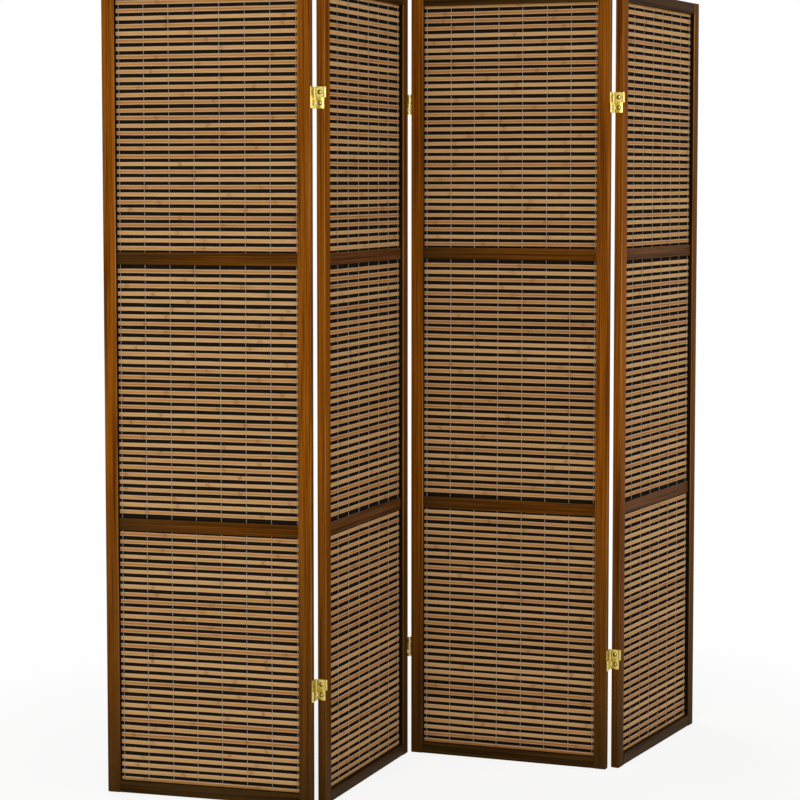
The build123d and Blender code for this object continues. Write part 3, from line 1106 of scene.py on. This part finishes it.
class SCREEN_OT_hinges(bpy.types.Operator):
    """Builds the hinges' leaves, links, pins and screws, and finishes the dowels"""

    bl_idname = "screen.hinges"
    bl_label = "Brass hinges"

    def execute(self, context):
        settings = context.scene.screen_hinges
        brass = plated_brass("steel_brass_plated", settings.brass, settings.screw_shadow)
        beech = bare_beech("beech_bare_dowel", settings.beech)
        for number in PANELS:
            prefix = f"panel_{number}"
            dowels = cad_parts[f"{prefix}_dowels"].data
            dowels.materials.clear()
            dowels.materials.append(beech)
            edges, pins = [], []
            if number > PANELS[0]:
                edges.append((0.0, -1))
                pins += [(-GAP / 2, half, depth) for half, depth in RIGHT_LEAF_PIVOTS]
            if number < PANELS[-1]:
                edges.append((WIDTH, 1))
                pins += [(WIDTH + GAP / 2, half, depth) for half, depth in LEFT_LEAF_PIVOTS]
            add_piece(
                f"{prefix}_pins", number, pin_shell(pins), brass,
                [f"{prefix}_hinge_pins"],
            )
            add_piece(
                f"{prefix}_screws", number, screws_shell(edges, 160 + number), brass,
                [f"{prefix}_hinge_screws"],
            )
        for left, right, depth in FOLDS:
            prefix = f"hinge_{left}_{right}"
            at_left, at_right = (left, WIDTH, 1), (right, 0.0, -1)
            upper, lower = (at_right, at_left) if depth == BACK_PIVOT else (at_left, at_right)
            made = (
                ("left_leaves", at_left, leaf_shell(WIDTH, 1, LEFT_LEAF_PIVOTS)),
                ("right_leaves", at_right, leaf_shell(0.0, -1, RIGHT_LEAF_PIVOTS)),
                ("upper_links", upper, link_shell(upper[1], upper[2], UPPER)),
                ("lower_links", lower, link_shell(lower[1], lower[2], LOWER)),
            )
            for name, (number, _, _), shell in made:
                node_name = f"{prefix}_{name}"
                add_piece(f"{node_name}_brass", number, shell, brass, [node_name])
        return {"FINISHED"}


def add_lamp(name, place, target, size, power):
    """A rectangular soft box at a place, turned to a target."""
    lamp = bpy.data.lights.new(name, "AREA")
    lamp.shape = "RECTANGLE"
    lamp.size, lamp.size_y = size
    lamp.energy = power
    piece = bpy.data.objects.new(name, lamp)
    piece.location = place
    piece.rotation_euler = (Vector(target) - Vector(place)).to_track_quat("-Z", "Y").to_euler()
    bpy.context.scene.collection.objects.link(piece)


def white_seen(tree):
    """One for rays that see the stage directly, by reflection or through glass."""
    path = node(tree, "LightPath").outputs
    seen = node(tree, "Math", {
        0: path["Is Camera Ray"], 1: path["Is Glossy Ray"],
    }, operation="MAXIMUM")
    return node(tree, "Math", {0: seen, 1: path["Is Transmission Ray"]}, operation="MAXIMUM")


class SCREEN_OT_stage(bpy.types.Operator):
    """Sets the floor, the white surround, the lamps and the camera"""

    bl_idname = "screen.stage"
    bl_label = "Stage"

    def execute(self, context):
        settings = context.scene.screen_stage
        scene = context.scene
        world = bpy.data.worlds.new("white_surround")
        scene.world = world
        world.use_nodes = True
        tree = world.node_tree
        tree.nodes.clear()
        level = node(tree, "MapRange", {"Value": white_seen(tree), "To Min": settings.sky})
        light = node(tree, "Background", {"Color": (1, 1, 1, 1), "Strength": level})
        node(tree, "OutputWorld", {"Surface": light})

        shell = Shell()
        reach = 30.0
        shell.points = [(-reach, -reach, 0), (reach, -reach, 0), (reach, reach, 0), (-reach, reach, 0)]
        shell.faces = [(0, 1, 2, 3)]
        floor = bpy.data.objects.new("floor", finished_mesh("floor", shell, 30))
        material, tree = new_material("matt_white_floor")
        matt = node(tree, "BsdfDiffuse", {"Color": (*settings.floor, 1)})
        glow = node(tree, "Emission", {"Color": (1, 1, 1, 1), "Strength": 1.0})
        places = node(tree, "TexCoord").outputs["Object"]
        far = node(tree, "VectorMath", {0: places}, operation="LENGTH")
        # The floor shows its shadow near the screen and is plain white further off.
        paling = node(tree, "MapRange", {
            "Value": far, "From Min": 0.7, "From Max": 1.9, "To Min": 0.85,
        }, interpolation_type="SMOOTHSTEP")
        share = node(tree, "Math", {0: white_seen(tree), 1: paling}, operation="MULTIPLY")
        mixed = node(tree, "MixShader", {0: share, 1: matt, 2: glow})
        node(tree, "OutputMaterial", {"Surface": mixed})
        floor.data.materials.append(material)
        scene.collection.objects.link(floor)

        target = (0, 0, 0.9)
        add_lamp("key", (-3.4, -3.6, 2.6), target, (2.2, 2.6), settings.key)
        add_lamp("fill", (3.2, -3.2, 2.2), target, (2.0, 2.4), settings.fill)
        add_lamp("back", (-0.5, 4.2, 2.8), target, (3.0, 2.0), settings.fill)

        # The camera was fitted to the corners, rails and hinges in the photograph. Its place
        # is given from the foot of the middle fold's pivot, and its focal length in pixels.
        azimuth, pitch = math.radians(-23.5), 0.0682
        pivot = Vector((-5.57, 159.97, 0)) * MM
        side, back, up = -22.2 * MM, 5080.5 * MM, 1356.7 * MM
        focal, picture = 2172.0, 800
        right = Vector((math.cos(azimuth), math.sin(azimuth), 0))
        away = Vector((math.sin(azimuth), -math.cos(azimuth), 0))
        data = bpy.data.cameras.new("camera")
        data.sensor_width = 36
        data.lens = focal / picture * data.sensor_width
        data.shift_y = -0.09
        data.clip_end = 100
        camera = bpy.data.objects.new("camera", data)
        camera.location = pivot + right * side + away * back + Vector((0, 0, up))
        camera.rotation_euler = (math.pi / 2 - pitch, 0, azimuth)
        scene.collection.objects.link(camera)
        scene.camera = camera
        scene.view_settings.view_transform = "Standard"
        return {"FINISHED"}


class SCREEN_PT_panel(bpy.types.Panel):
    """Sizes and colours of the screen, with a button for each group of pieces"""

    bl_idname = "SCREEN_PT_panel"
    bl_label = "Folding screen"
    bl_space_type = "VIEW_3D"
    bl_region_type = "UI"
    bl_category = "Screen"

    def draw(self, context):
        for (name, group), operator in zip(GROUPS, OPERATORS):
            box = self.layout.box()
            for key in group.__annotations__:
                box.prop(getattr(context.scene, name), key)
            box.operator(operator.bl_idname)


OPERATORS = (SCREEN_OT_timber, SCREEN_OT_mat, SCREEN_OT_hinges, SCREEN_OT_stage)
CLASSES = (*(group for _, group in GROUPS), *OPERATORS, SCREEN_PT_panel)


def register():
    for made in CLASSES:
        bpy.utils.register_class(made)
    for name, group in GROUPS:
        setattr(bpy.types.Scene, name, bpy.props.PointerProperty(type=group))


def unregister():
    for name, _ in GROUPS:
        delattr(bpy.types.Scene, name)
    for made in reversed(CLASSES):
        bpy.utils.unregister_class(made)


def main():
    register()
    bpy.ops.screen.stage()
    bpy.ops.screen.timber()
    bpy.ops.screen.mat()
    bpy.ops.screen.hinges()


if __name__ == "__main__":
    main()
